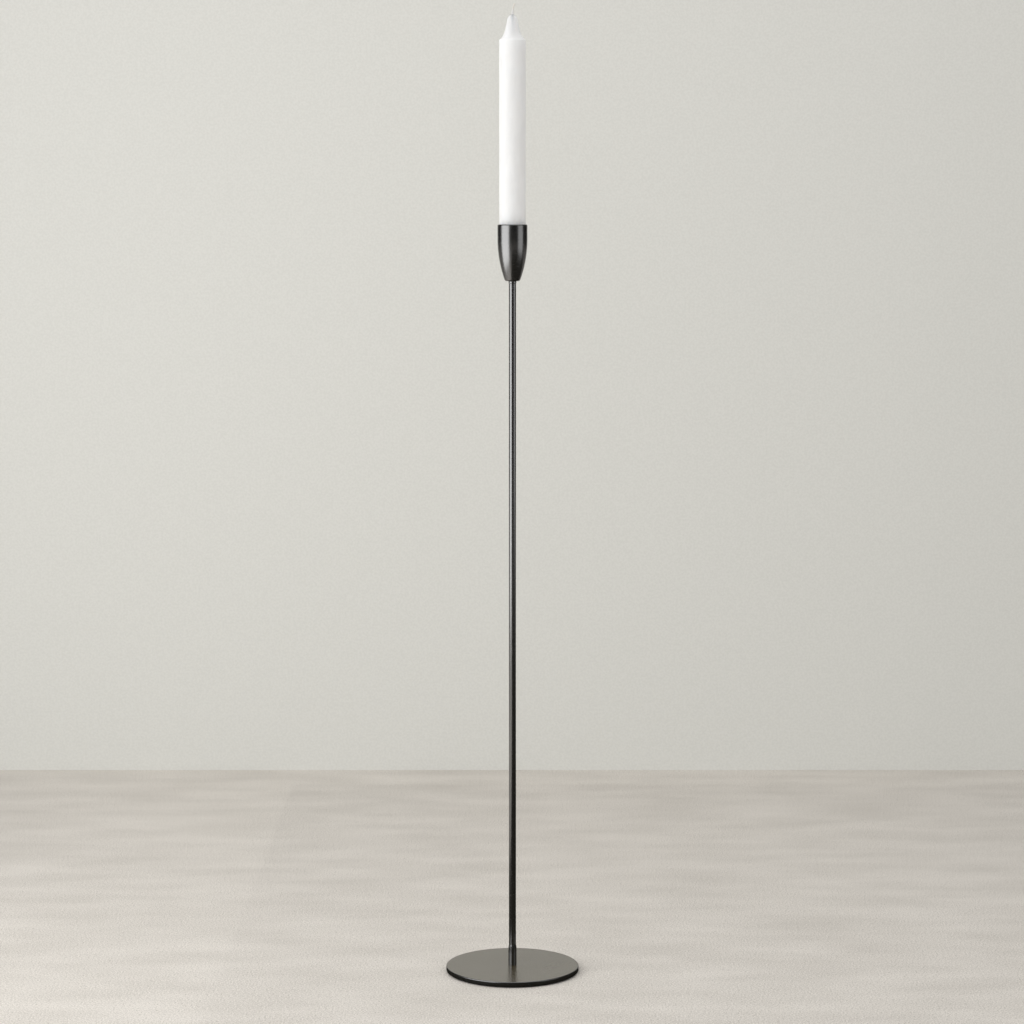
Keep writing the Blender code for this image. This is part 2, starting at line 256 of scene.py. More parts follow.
# %% [markdown]
# ## Turned outlines
# The socket, the collar, the cup, the washer, the screw heads and the candle are turned pieces.
# Each could be a stack of cylinders, but a lathe works from an outline, and so does this: one
# corner is extruded from point to point in the XZ plane, and the chain is spun about the axis. An
# outline is a list of corners, each with the radius that rounds it off, and the arcs come from a
# formula. That keeps a shape down to the few numbers that a turner would read off a drawing.

# %% Outline, rounded corners and spin
ARC_STEP = math.radians(12)


def rounded(corners):
    """Points of an outline of (radius, height, rounding) corners, with an arc at each rounding."""
    points = []
    for index, (across, height, rounding) in enumerate(corners):
        here = Vector((across, height))
        if not rounding:
            points.append(here)
            continue
        back = (Vector(corners[index - 1][:2]) - here).normalized()
        ahead = (Vector(corners[(index + 1) % len(corners)][:2]) - here).normalized()
        bend = math.pi - back.angle(ahead)
        side = math.copysign(1, back.cross(ahead))
        centre = here + (back + ahead).normalized() * rounding / math.cos(bend / 2)
        arm = here + back * rounding * math.tan(bend / 2) - centre
        steps = max(2, math.ceil(bend / ARC_STEP))
        for count in range(steps + 1):
            points.append(centre + Matrix.Rotation(-side * bend * count / steps, 2) @ arm)
    return points


def draw(name, points):
    """Draws a chain of edges through points in space, each extruded from the last."""
    bpy.ops.object.select_all(action="DESELECT")
    bpy.ops.mesh.primitive_plane_add(size=MM, location=points[0])
    piece = begin(name)
    bpy.ops.mesh.merge(type="CENTER")
    for here, there in zip(points, points[1:]):
        pull(there - here)
    return piece


def turn(name, outline, sides, smooth=30):
    """Spins an outline of (radius, height) points about the axis into a closed piece."""
    piece = draw(name, [Vector((across, 0, height)) for across, height in outline])
    bpy.ops.mesh.select_all(action="SELECT")
    bpy.ops.mesh.spin(steps=sides, angle=math.tau, center=(0, 0, 0), axis=(0, 0, 1))
    return close_up(piece, smooth)


# %% [markdown]
# ## Socket and collar
# The socket is a short sleeve that the rod screws into. Its top runs in to the rod's own width over
# a long chamfer, which is the only thing that shows it apart from the rod. The collar is a low
# ring that keeps the cup a step away from the rod. Both are rings in section, so each outline
# comes back to the point that it started from.

# %% Socket and collar
ROD_SIDES = 64
CHAMFER_HEIGHT = 3 * MM
CHAMFER_ROUND = 1.5 * MM  # where the chamfer leaves the sleeve's side
SOFT_EDGE = 0.12 * MM
COLLAR_ROUND = 0.25 * MM


def stem_socket():
    across = radius("base_socket")
    bottom = PLATE_HIGH + HAIRLINE
    top = STEM_LOW - HAIRLINE / 2
    outline = rounded([
        (HOLE, top, 0),
        (HOLE, bottom, 0),
        (across, bottom, SOFT_EDGE),
        (across, top - CHAMFER_HEIGHT, CHAMFER_ROUND),
        (radius("stem"), top, SOFT_EDGE),
    ])
    return turn("stem_socket", outline + outline[:1], ROD_SIDES)


def neck_ring():
    across = radius("neck_collar")
    bottom = STEM_HIGH + HAIRLINE
    top = CUP_LOW - HAIRLINE
    outline = rounded([
        (HOLE, top, 0),
        (HOLE, bottom, 0),
        (across, bottom, COLLAR_ROUND),
        (across, top, COLLAR_ROUND),
    ])
    return turn("neck_ring", outline + outline[:1], ROD_SIDES)


socket = stem_socket()
collar = neck_ring()

# %% [markdown]
# ## The stem
# More than half a metre of 6 mm bar, drilled and tapped at both ends. A cylinder is the bar, a
# bevel breaks its sharp ends, and each hole is made as a drill makes it: inset a circle, push it
# in, then draw its floor together to the point of the drill.

# %% Stem rod
STEM_BREAK = 0.25 * MM
DRILLED = 10 * MM
DRILL_POINT = 1.2 * MM


def drill(height, facing):
    """Bores a blind hole into an end face, in the direction that the face looks away from."""
    choose("FACE", level(height, facing))
    bpy.ops.mesh.inset(thickness=radius("stem") - STEM_BREAK - HOLE)
    for depth in (DRILLED, DRILL_POINT):
        pull((0, 0, -facing * depth))
    bpy.ops.mesh.merge(type="CENTER")


def stem_rod():
    bottom = STEM_LOW + HAIRLINE / 2
    piece = cylinder("stem_rod", ROD_SIDES, radius("stem"), bottom, STEM_HIGH)
    for height in (bottom, STEM_HIGH):
        bevel_ring(radius("stem"), height, STEM_BREAK, segments=3)
    drill(bottom, -1)
    drill(STEM_HIGH, 1)
    return close_up(piece)


stem = stem_rod()

# %% [markdown]
# ## The cup
# The cup is what the eye goes to. Its mouth is straight for 12 mm, and then the wall draws in on a
# wide arc to a flat bottom. One formula gives the arc at any height, for the outer face and, a
# wall's thickness further in, for the inner one, so the wall is even all the way down. Two dozen
# steps along it keep the long highlights free of facets.

# %% Candle cup
CUP_SIDES = 128
MOUTH = 12 * MM  # how far down the wall is straight
BELLY = 100 * MM  # radius of the arc below that
BELLY_STEPS = 24
WALL = 1.3 * MM
FLOOR = 2 * MM
FLOOR_TOP = CUP_LOW + FLOOR
LIP_ROUND = 1 * MM
LIP_INNER_ROUND = 0.25 * MM
BOTTOM_CORNER = (1.6 * MM, 2 * MM)  # height kept free of the arc, rounding
FLOOR_CORNER = (0.9 * MM, 0.8 * MM)
HOLE_ROUND = 0.1 * MM


def belly(depth, height):
    """The radius of the wall's face at a height, a depth into the metal."""
    centre = radius("cup") - BELLY
    fall = max(LIP - MOUTH - height, 0)
    return centre + math.sqrt((BELLY - depth) ** 2 - fall ** 2)


def belly_line(depth, bottom, clear, rounding):
    """Outline points down the arc to a little above the bottom, and the rounded corner there."""
    top = LIP - MOUTH
    drop = top - bottom - clear
    heights = [top - drop * count / BELLY_STEPS for count in range(BELLY_STEPS + 1)]
    corner = (belly(depth, bottom), bottom, rounding)
    return [(belly(depth, height), height, 0) for height in heights] + [corner]


def candle_cup():
    outer = radius("cup")
    outline = rounded([
        (outer - WALL, LIP, LIP_INNER_ROUND),
        (outer, LIP, LIP_ROUND),
        *belly_line(0, CUP_LOW, *BOTTOM_CORNER),
        (HOLE, CUP_LOW, HOLE_ROUND),
        (HOLE, FLOOR_TOP, HOLE_ROUND),
        *reversed(belly_line(WALL, FLOOR_TOP, *FLOOR_CORNER)),
    ])
    return turn("candle_cup", outline + outline[:1], CUP_SIDES, smooth=40)


cup = candle_cup()

# %% [markdown]
# ## Screws with real threads
# Three M4 fasteners hold the stand together. The stud is hidden, half in the socket and half in the
# rod. One screw shows in the cup when the candle is out, and the other under the foot. A thread is
# one ridge that climbs as it goes round. Its section over one pitch is drawn as a line, and the
# Screw modifier winds that line up the axis. Bisect cuts the ends flat, a bar with chamfered ends
# trims them, and Boolean tools add the head and sink the key hole. A grooved cylinder would be
# quicker, but it would be a stack of rings and no thread.

# %% Boolean tools
def combine(piece, operation, tool):
    """Joins, trims or cuts a piece with a tool, which is used up."""
    only(piece)
    bpy.ops.object.modifier_add(type="BOOLEAN")
    step = piece.modifiers[-1]
    step.operation = operation
    step.solver = "EXACT"
    step.object = tool
    bpy.ops.object.modifier_apply(modifier=step.name)
    bpy.data.objects.remove(tool)


# %% Thread
PITCH = 0.7 * MM
CREST = 2 * MM  # radius at the top of the ridge
RIDGE = 0.6134 * PITCH  # height of the ridge in a metric thread
ROOT = CREST - RIDGE
ROOT_FLAT = 1 / 4  # of a pitch
CREST_FLAT = 1 / 8
FLANK = (1 - ROOT_FLAT - CREST_FLAT) / 2
SPARE_TURNS = 2  # wound past each end and cut off again
THREAD_SIDES = 32
TIP_CHAMFER = 0.45 * MM


def bar(bottom, top):
    """A round bar as thick as the thread, with its ends chamfered, to trim a thread with."""
    piece = cylinder("bar", THREAD_SIDES, CREST, bottom, top)
    for height in (bottom, top):
        bevel_ring(CREST, height, TIP_CHAMFER, segments=1)
    return close_up(piece)


def threaded(name, bottom, top):
    """A right-hand thread between two heights."""
    section = (
        (ROOT, 1),
        (CREST, 1 - FLANK),
        (CREST, ROOT_FLAT + FLANK),
        (ROOT, ROOT_FLAT),
        (ROOT, 0),
    )
    start = bottom - SPARE_TURNS * PITCH
    piece = draw(name, [Vector((across, 0, start + share * PITCH)) for across, share in section])
    bpy.ops.object.mode_set(mode="OBJECT")
    bpy.ops.object.modifier_add(type="SCREW")
    wind = piece.modifiers[-1]
    wind.screw_offset = PITCH
    wind.iterations = math.ceil((top - bottom) / PITCH) + 2 * SPARE_TURNS
    wind.steps = wind.render_steps = THREAD_SIDES
    wind.use_merge_vertices = True
    wind.merge_threshold = NEAR / 2
    bpy.ops.object.modifier_apply(modifier=wind.name)
    bpy.ops.object.mode_set(mode="EDIT")
    for height, facing in ((bottom - PITCH / 2, -1), (top + PITCH / 2, 1)):
        bpy.ops.mesh.select_all(action="SELECT")
        bpy.ops.mesh.bisect(
            plane_co=(0, 0, height),
            plane_no=(0, 0, facing),
            use_fill=True,
            clear_outer=True,
            threshold=NEAR / 20,
        )
    close_up(piece)
    combine(piece, "INTERSECT", bar(bottom, top))
    return piece


# %% Heads and key holes
KEY_SIDES = 6
HEAD_KEY = (2.5 * MM, 1.3 * MM)  # width across the flats, depth
STUD_KEY = (2 * MM, 2 * MM)
HEAD_EDGE = 0.08 * MM
HEAD_RISE = 2.2 * MM  # how far the button head stands over the washer
CROWN = 2 * MM  # radius of the flat around its key hole
DOME_STEPS = 8
NECK = 1.8 * MM  # between root and crest, so that a head's foot crosses the thread cleanly
INTO_HEAD = 1 * MM  # from a head's flat side, at zero, to where the thread ends inside it


def sink_key(piece, top, width, depth):
    """Sinks a hexagonal key hole into an upper end."""
    corner = width / 2 / math.cos(math.pi / KEY_SIDES)
    key = cylinder("key", KEY_SIDES, corner, top - depth, top + depth)
    combine(piece, "DIFFERENCE", close_up(key))


def settle(piece, height, turned_over):
    """Stands a fastener, made pointing down from zero, at its height."""
    only(piece)
    piece.rotation_euler.x = math.pi if turned_over else 0
    piece.location.z = height
    bpy.ops.object.transform_apply(location=True, rotation=True, scale=True)
    bpy.ops.object.mode_set(mode="EDIT")
    return close_up(piece)


def foot_screw():
    across = radius("base_screw")
    length = high("base_screw") - low("base_screw")
    neck = -SINK_LAND - across + NECK
    head = rounded([
        (0, 0, 0),
        (across, 0, HEAD_EDGE),
        (across, -SINK_LAND, HEAD_EDGE),
        (NECK, neck, 0),
        (0, neck, 0),
    ])
    piece = threaded("foot_screw", -length, -INTO_HEAD)
    combine(piece, "UNION", turn("head", head, THREAD_SIDES))
    sink_key(piece, 0, *HEAD_KEY)
    return settle(piece, low("base_screw"), True)


def cup_fixing_screw():
    across = radius("cup_screw")
    top = high("cup_screw")
    length = top - low("cup_screw") - HEAD_RISE
    head = [(0, HEAD_RISE)]
    for count in range(DOME_STEPS, -1, -1):
        angle = math.pi / 2 * count / DOME_STEPS
        head.append((CROWN + (across - CROWN) * math.cos(angle), HEAD_RISE * math.sin(angle)))
    head.append((0, 0))
    piece = threaded("cup_fixing_screw", -length, INTO_HEAD)
    combine(piece, "UNION", turn("head", head, THREAD_SIDES))
    sink_key(piece, HEAD_RISE, *HEAD_KEY)
    return settle(piece, top - HEAD_RISE, False)


def stem_stud():
    top = high("lower_stud")
    piece = threaded("stem_stud", low("lower_stud") - top, 0)
    sink_key(piece, 0, *STUD_KEY)
    return settle(piece, top, False)


base_screw = foot_screw()
cup_screw = cup_fixing_screw()
stud = stem_stud()

# %% [markdown]
# ## The washer
# A plain washer spreads the screw's clamping force over the floor of the cup. Washers are punched,
# so the edges on one face are a little rounded and those on the other are sharp.

# %% Floor washer
WASHER_ROUND = 0.2 * MM
WASHER_HOLE_ROUND = 0.15 * MM


def floor_washer():
    across = radius("cup_washer")
    bottom = FLOOR_TOP + HAIRLINE
    top = high("cup_screw") - HEAD_RISE - HAIRLINE
    outline = rounded([
        (HOLE, bottom, 0),
        (across, bottom, 0),
        (across, top, WASHER_ROUND),
        (HOLE, top, WASHER_HOLE_ROUND),
    ])
    return turn("floor_washer", outline + outline[:1], ROD_SIDES)


washer = floor_washer()

# %% [markdown]
# ## The candle
# A pressed dinner candle: a straight body, a square shoulder, and a tip that flares in from it and
# rises to a rounded point about the wick. It is turned like the rest, with rings all the way up
# its body so that it can be made a little uneven afterwards. Wax shrinks as it sets, and its side
# waves by a few hundredths of a millimetre, which is enough to keep its shading from being
# ruler-straight.

# %% Dinner candle
CANDLE_SIDES = 96
RING_STEP = 4 * MM
FOOT_TAPER = (0.8 * MM, 14 * MM)  # how far in, how far up
FOOT_ROUND = 0.5 * MM
TAPER_ROUND = 30 * MM
SHOULDER_ROUND = 0.25 * MM
TIP_RISE = 20.8 * MM  # shoulder to the top of the wax
FLARE_TOP = (6.4 * MM, 7.2 * MM)  # radius, height above the shoulder
FLARE_STEPS = 10
CONE_TOP = (4.5 * MM, 15 * MM)
TIP_STEPS = 14
TIP_POINT = 1.25  # 1 would end the wax in a round dome, and more draws it to a point
CHANNEL = 0.8 * MM  # radius of the hole that the wick runs in
UNEVEN = 0.03 * MM
WAVE_ACROSS = 9 * MM
WAVE_UP = 30 * MM


def flare(foot, top, lean):
    """Points on the hollow arc from the shoulder's edge up into the leaning line of the cone."""
    run = foot[0] - top[0]
    rise = top[1] - foot[1]
    bend = (run ** 2 + rise ** 2) / 2 / (run * math.cos(lean) - rise * math.sin(lean))
    centre = Vector((top[0] + bend * math.cos(lean), top[1] + bend * math.sin(lean)))
    first = math.atan2(foot[1] - centre.y, foot[0] - centre.x) % math.tau
    last = (lean + math.pi) % math.tau
    angles = [first + (last - first) * count / FLARE_STEPS for count in range(FLARE_STEPS + 1)]
    return [centre + bend * Vector((math.cos(angle), math.sin(angle))) for angle in angles]


def tip_outline(shoulder):
    """The flare, the cone and the rounded point of the wax."""
    edge = radius("candle_wax") - SHOULDER_ROUND
    lean = math.atan2(FLARE_TOP[0] - CONE_TOP[0], CONE_TOP[1] - FLARE_TOP[1])
    points = flare((edge, shoulder), (FLARE_TOP[0], shoulder + FLARE_TOP[1]), lean)
    head = shoulder + CONE_TOP[1]
    for count in range(1, TIP_STEPS + 1):
        angle = math.pi / 2 * count / TIP_STEPS
        across = CHANNEL + (CONE_TOP[0] - CHANNEL) * math.cos(angle) ** TIP_POINT
        points.append(Vector((across, head + (WAX_TIP - head) * math.sin(angle))))
    return points


def dinner_candle():
    side = radius("candle_wax")
    foot = low("candle_wax")
    shoulder = WAX_TIP - TIP_RISE
    taper_in, taper_up = FOOT_TAPER
    body = shoulder - foot - taper_up
    rings = round(body / RING_STEP)
    outline = rounded([
        (CHANNEL, foot, 0),
        (side - taper_in, foot, FOOT_ROUND),
        (side, foot + taper_up, TAPER_ROUND),
        *[(side, foot + taper_up + body * count / rings, 0) for count in range(1, rings)],
        (side, shoulder, SHOULDER_ROUND),
        (CHANNEL, shoulder, 0),
    ])
    outline.pop()  # the last corner only gives the shoulder its direction
    outline += tip_outline(shoulder)[1:]
    piece = turn("dinner_candle", outline + outline[:1], CANDLE_SIDES, smooth=35)
    for corner in piece.data.vertices:
        place = corner.co
        out = Vector((place.x, place.y, 0))
        if out.length > 2 * CHANNEL:
            spot = (place.x / WAVE_ACROSS, place.y / WAVE_ACROSS, place.z / WAVE_UP)
            corner.co = place + out.normalized() * UNEVEN * noise.noise(Vector(spot))
    return piece


candle = dinner_candle()

# %% [markdown]
# ## The wick
# A candle's wick is a flat braid of three cotton strands. A strand swings from side to side as it
# climbs, and forwards and back at twice that rate, which is what lets it pass over one neighbour
# and under the other. One repeat is enough to model: a small circle is extruded along the strand's
# path, and because its last ring is an exact copy of its first, an Array stacks the repeats
# without a seam. The free end then leans over a little, as a waxed wick does.

# %% Braided wick
BRAID_REPEAT = 3 * MM
SWING = 0.42 * MM
CROSSING = 0.2 * MM
STRAND = 0.33 * MM
STRANDS = 3
STRAND_STEPS = 12
STRAND_SIDES = 8
LEAN = 1.6 * MM  # how far to the right the free end comes out


def on_braid(strand, share):
    """A point on a strand's path, a share of the way up one repeat."""
    angle = math.tau * (share + strand / STRANDS)
    return Vector((SWING * math.sin(angle), CROSSING * math.sin(2 * angle), share * BRAID_REPEAT))


def strand_repeat(strand):
    bpy.ops.object.select_all(action="DESELECT")
    bpy.ops.mesh.primitive_circle_add(
        vertices=STRAND_SIDES, radius=STRAND, location=on_braid(strand, 0)
    )
    piece = begin("strand")
    for count in range(STRAND_STEPS):
        pull(on_braid(strand, (count + 1) / STRAND_STEPS) - on_braid(strand, count / STRAND_STEPS))
    bpy.ops.object.mode_set(mode="OBJECT")
    return piece


def braided_wick():
    bottom = low("wick")
    repeats = round((WICK_TIP - bottom) / BRAID_REPEAT)
    strands = [strand_repeat(strand) for strand in range(STRANDS)]
    piece = strands[0]
    only(piece)
    for strand in strands[1:]:
        strand.select_set(True)
    bpy.ops.object.join()
    piece.name = piece.data.name = "braided_wick"
    bpy.ops.object.modifier_add(type="ARRAY")
    stack = piece.modifiers[-1]
    stack.count = repeats
    stack.use_relative_offset = False
    stack.use_constant_offset = True
    stack.constant_offset_displace = (0, 0, BRAID_REPEAT)
    stack.use_merge_vertices = True
    stack.merge_threshold = NEAR / 2
    bpy.ops.object.modifier_apply(modifier=stack.name)
    bpy.ops.object.mode_set(mode="EDIT")
    bpy.ops.mesh.select_all(action="SELECT")
    bpy.ops.mesh.fill_holes(sides=STRAND_SIDES)
    close_up(piece, smooth=60)
    stretch = (WICK_TIP - bottom) / piece.dimensions.z
    free = WICK_TIP - WAX_TIP
    for corner in piece.data.vertices:
        height = bottom + corner.co.z * stretch
        share = max(height - WAX_TIP, 0) / free
        corner.co = (corner.co.x + LEAN * share ** 2, corner.co.y, height)
    return piece


wick = braided_wick()


# %% [markdown]
# ## How a finish is written
# A finish is a Principled shader whose colour, roughness and bump change over the surface. Those
# changes are sums, and sums are easier to read as sums than as wires between boxes. So a small
# class wraps an output socket, and adding or multiplying such a value adds the Math node that does
# it. A second class makes any other node in one call, and a third is a whole material. Sizes of
# patterns are given in metres on the piece itself, through Object coordinates, so a grain is as
# fine on the rod as it is on the foot.

# %% Wire, Nodes and Finish
class Wire:
    """A value on its way to the shader. A sum of wires adds its own Math nodes."""

    def __init__(self, nodes, socket):
        self.nodes = nodes
        self.socket = socket

    def math(self, operation, second=0.0, third=0.0):
        values = {"Value": self, "Value_001": second, "Value_002": third}
        return self.nodes.node("ShaderNodeMath", {"operation": operation}, values)

    def __add__(self, other):
        return self.math("ADD", other)

    def __sub__(self, other):
        return self.math("SUBTRACT", other)

    def __rsub__(self, other):
        return self.math("MULTIPLY_ADD", -1.0, other)

    def __mul__(self, other):
        return self.math("MULTIPLY", other)

    __radd__ = __add__
    __rmul__ = __mul__


class Nodes:
    """A node tree, and short ways to add to it."""

    def __init__(self, tree):
        self.tree = tree

    def socket(self, sockets, name):
        return next(socket for socket in sockets if name in (socket.identifier, socket.name))

    def feed(self, node, values):
        for name, value in values.items():
            socket = self.socket(node.inputs, name)
            if isinstance(value, Wire):
                self.tree.links.new(value.socket, socket)
            else:
                socket.default_value = value

    def node(self, kind, settings, values, output=None):
        made = self.tree.nodes.new(kind)
        for name, value in settings.items():
            setattr(made, name, value)
        self.feed(made, values)
        return Wire(self, self.socket(made.outputs, output) if output else made.outputs[0])

    def mix(self, mask, first, second):
        """A colour between two others."""
        values = {"Factor_Float": mask, "A_Color": first, "B_Color": second}
        return self.node("ShaderNodeMix", {"data_type": "RGBA"}, values, "Result_Color")


class Finish(Nodes):
    """A material: one Principled shader, and the patterns that vary it over a piece."""

    def __init__(self, name, constants):
        self.material = bpy.data.materials.new(name)
        self.material.use_nodes = True
        super().__init__(self.material.node_tree)
        self.shader = self.tree.nodes["Principled BSDF"]
        self.place = self.node("ShaderNodeTexCoord", {}, {}, "Object")
        self.feed(self.shader, constants)

    def clouds(self, size, detail=2.0, stretch=(1, 1, 1)):
        """Soft noise around 0.5 in patches of a size in metres, drawn out along any axis."""
        scale = [1 / (size * share) for share in stretch]
        place = self.node("ShaderNodeMapping", {}, {"Vector": self.place, "Scale": scale})
        return self.node("ShaderNodeTexNoise", {}, {"Vector": place, "Scale": 1.0, "Detail": detail})

    def step(self, value, start, end):
        """0 below start and 1 above end, with a soft rise between."""
        limits = {"Value": value, "From Min": start, "From Max": end}
        return self.node("ShaderNodeMapRange", {"interpolation_type": "SMOOTHSTEP"}, limits)

    def height(self):
        """Height above the table, in metres."""
        return self.node("ShaderNodeSeparateXYZ", {}, {"Vector": self.place}, "Z")

    def bump(self, relief, depth):
        """Turns a relief between 0 and 1 into a normal for a surface that deep, in metres."""
        return self.node("ShaderNodeBump", {}, {"Height": relief, "Distance": depth})

    def wear(self, *pieces):
        for piece in pieces:
            piece.data.materials.clear()
            piece.data.materials.append(self.material)


# %% [markdown]
# ## Satin black lacquer
# Steel sprayed black and stoved. It is nearly black in itself, and what the eye reads is its
# satin gloss: soft wide streaks of the lamps on the round pieces, and a grey sheen of the wall
# on the flat of the foot. The refractive index is high, because such a lacquer is loaded with
# fine metal and carbon. Up close it has the orange peel of sprayed paint, a fine grain, the dull
# patches that hands leave, and a few specks. The flat of the foot also gets a brownish tint in its
# colour: a painted warm sheen that stands in for the wall's reflection there. It is found by its
# height, so that it stops at the foot's rounded edge.

# %% Satin black lacquer
BLACK = (0.005, 0.0048, 0.0042, 1)
SPECK = (0.13, 0.12, 0.1, 1)
# The brownish colour below is a painted warm sheen on the foot's flat, standing in for the wall's
# reflection.
PAINTED_SHEEN_TINT = (0.05, 0.038, 0.017, 1)
EDGE_OF_PAINTED_SHEEN = 0.04 * MM


def satin_black_lacquer():
    finish = Finish("satin_black_lacquer", {"IOR": 2.6})
    handled = finish.clouds(22 * MM, detail=4)
    peel = finish.clouds(1.8 * MM, detail=1)
    grain = finish.clouds(0.3 * MM, detail=1)
    specks = finish.step(finish.clouds(0.7 * MM, detail=0), 0.8, 0.86)
    height = finish.height()
    # Mask of the painted warm sheen: only the flat top of the foot, found by its height, a little
    # patchy.
    above = finish.step(height, PLATE_HIGH - EDGE_OF_PAINTED_SHEEN, PLATE_HIGH - EDGE_OF_PAINTED_SHEEN / 4)
    beyond = finish.step(height, PLATE_HIGH + EDGE_OF_PAINTED_SHEEN / 4, PLATE_HIGH + EDGE_OF_PAINTED_SHEEN)
    painted_sheen = (above - beyond) * (0.8 + 0.4 * handled)
    painted = finish.mix(0.35 * specks, BLACK, SPECK)
    finish.feed(finish.shader, {
        # The painted warm sheen is mixed into the colour of the foot's flat here.
        "Base Color": finish.mix(painted_sheen, painted, PAINTED_SHEEN_TINT),
        "Roughness": 0.255 + 0.08 * (handled - 0.5) + 0.04 * (grain - 0.5) + 0.2 * specks,
        "Normal": finish.bump(peel + 0.15 * grain, 0.004 * MM),
    })
    return finish


satin_black_lacquer().wear(disc, socket, stem, collar, cup)

# %% [markdown]
# ## Candle wax
# Light wanders right through wax before it comes out again, so a candle has no hard shadow side.
# That is subsurface scattering, and its depth is set in metres. The surface is a dull satin, with
# faint clouds where the wax has crystallised and shallow marks from the mould and from fingers.

# %% White wax
WAX = (0.79, 0.792, 0.79, 1)
WAX_CLOUD = (0.765, 0.767, 0.765, 1)


def white_wax():
    finish = Finish("soft_white_wax", {
        "IOR": 1.3,
        "Subsurface Weight": 1.0,
        "Subsurface Radius": (1.0, 0.95, 0.9),
        "Subsurface Scale": 30 * MM,
    })
    crystals = finish.clouds(6 * MM, detail=5, stretch=(1, 1, 3))
    touched = finish.clouds(14 * MM, detail=3)
    marks = finish.clouds(2.5 * MM, detail=2, stretch=(1, 1, 5))
    finish.feed(finish.shader, {
        "Base Color": finish.mix(finish.step(crystals, 0.42, 0.62), WAX, WAX_CLOUD),
        "Roughness": 0.5 + 0.25 * (touched - 0.5),
        "Normal": finish.bump(marks, 0.02 * MM),
    })
    return finish


white_wax().wear(candle)

# %% [markdown]
# ## Waxed cotton
# The wick is raw cotton that has drunk wax: cream at its free end, whiter and shinier where it
# leaves the candle. Fine noise drawn out along the wick stands for the fibres of the strands.

# %% Waxed cotton
COTTON = (0.8, 0.775, 0.72, 1)
COTTON_SHADE = (0.7, 0.665, 0.61, 1)
SOAKED_WHITE = (2.5 * MM, 5.5 * MM)  # above the wax, where the white ends


def waxed_cotton():
    finish = Finish("braided_cotton", {"IOR": 1.45})
    fibres = finish.clouds(0.12 * MM, detail=2, stretch=(1, 1, 8))
    above, below = (WAX_TIP + rise for rise in SOAKED_WHITE)
    soaked = 1 - finish.step(finish.height(), above, below)
    cotton = finish.mix(finish.step(fibres, 0.35, 0.6), COTTON_SHADE, COTTON)
    finish.feed(finish.shader, {
        "Base Color": finish.mix(0.9 * soaked, cotton, WAX),
        "Roughness": 0.8 - 0.3 * soaked,
        "Normal": finish.bump(fibres, 0.05 * MM),
    })
    return finish


waxed_cotton().wear(wick)

# %% [markdown]
# ## Black felt
# Felt has no weave: its wool fibres lie every way, so fine noise serves for its nap, and it has no
# gloss at all. Sheen adds the pale bloom that loose fibres give at a glancing angle.

# %% Black felt
FELT = (0.018, 0.018, 0.018, 1)
FELT_NAP = (0.05, 0.049, 0.047, 1)


def black_felt():
    finish = Finish("glued_felt", {"Sheen Weight": 0.25, "Sheen Roughness": 0.5})
    nap = finish.clouds(0.5 * MM, detail=4)
    finish.feed(finish.shader, {
        "Base Color": finish.mix(finish.step(nap, 0.35, 0.7), FELT, FELT_NAP),
        "Roughness": 0.9 + 0.1 * nap,
        "Normal": finish.bump(nap, 0.2 * MM),
    })
    return finish


black_felt().wear(felt)

# %% [markdown]
# ## Zinc-plated steel
# The screws, the stud and the washer are bright zinc with a thin blue passivation. It is a metal,
# so its colour is the colour of its reflections, and that drifts a little between blue and straw.
# The turning of the blank shows as fine rings, one above the other.

# %% Zinc-plated steel
ZINC = (0.66, 0.68, 0.71, 1)
ZINC_STRAW = (0.7, 0.67, 0.58, 1)


def zinc_plated_steel():
    finish = Finish("bright_zinc", {"Metallic": 1.0})
    drift = finish.clouds(2.5 * MM, detail=3)
    rings = finish.clouds(0.15 * MM, detail=1, stretch=(20, 20, 1))
    finish.feed(finish.shader, {
        "Base Color": finish.mix(finish.step(drift, 0.4, 0.65), ZINC, ZINC_STRAW),
        "Roughness": 0.3 + 0.2 * (drift - 0.5) + 0.15 * (rings - 0.5),
        "Normal": finish.bump(rings, 0.004 * MM),
    })
    return finish


zinc_plated_steel().wear(washer, base_screw, cup_screw, stud)

# %% [markdown]
# ## What rides on what
# The stand is one body and the candle is another, which lifts out. Each new piece rides on its
# body, stands for the node that it was made from, and says which material slot its finish fills.

# %% Bodies, nodes and slots
PIECES = (
    (disc, "holder", "base_plate", "satin_black_paint"),
    (felt, "holder", "base_pad", "black_felt"),
    (socket, "holder", "base_socket", "satin_black_paint"),
    (stem, "holder", "stem", "satin_black_paint"),
    (collar, "holder", "neck_collar", "satin_black_paint"),
    (cup, "holder", "cup", "satin_black_paint"),
    (washer, "holder", "cup_washer", "zinc_plated_steel"),
    (base_screw, "holder", "base_screw", "zinc_plated_steel"),
    (cup_screw, "holder", "cup_screw", "zinc_plated_steel"),
    (stud, "holder", "lower_stud", "zinc_plated_steel"),
    (candle, "candle", "candle_wax", "white_wax"),
    (wick, "candle", "wick", "waxed_cotton"),
)

for piece, body, node, slot in PIECES:
    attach(piece, body)
    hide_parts(node)

# %% [markdown]
# ## Floor, wall and card
# A pale stone-like floor with a fine speckle, and a brushed wall a little under a metre behind the
# stand. The wall is a narrow panel: a wide one would fill the sides of the cup with its own
# reflection. It is clear from behind, so that the stand can be looked at from every side. A black
# card lies on the floor in front and to the right. Only reflections see it, and it keeps the
# bright floor out of the dark parts of the lacquer.

# %% Floor
FLOOR_SIZE = (14.0, 14.0)
FLOOR_PALE = (0.78, 0.738, 0.682, 1)
FLOOR_SHADE = (0.5, 0.466, 0.42, 1)
FLOOR_SPECK = (0.27, 0.24, 0.2, 1)


